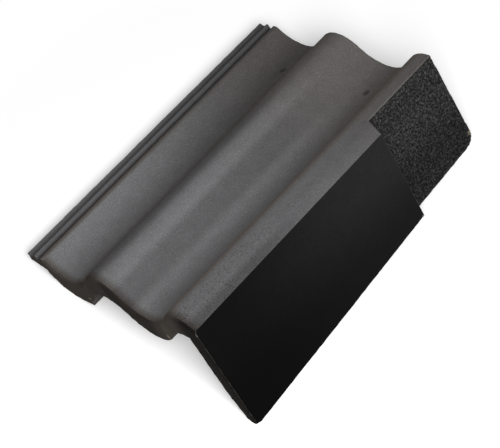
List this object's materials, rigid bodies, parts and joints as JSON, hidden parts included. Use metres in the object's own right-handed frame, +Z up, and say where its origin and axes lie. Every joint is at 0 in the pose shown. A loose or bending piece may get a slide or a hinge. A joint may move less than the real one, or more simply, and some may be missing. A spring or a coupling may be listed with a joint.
{
  "type": "verge tile",
  "caption": "Right-hand concrete verge roof tile: waved interlocking deck with a side lock, hanging nibs and a stepped apron that covers the gable edge.",
  "frame": {"origin": "under the middle of the tile as it rests on a level floor", "axes": "+Z up, +Y along the tile from its tail to its head, +X across it from the side lock to the verge apron"},
  "size_m": [0.3616, 0.4254, 0.1502],
  "materials": {
    "concrete": "matte"
  },
  "bodies": {
    "root": {"verge_tile": "concrete"}
  },
  "joints": []
}
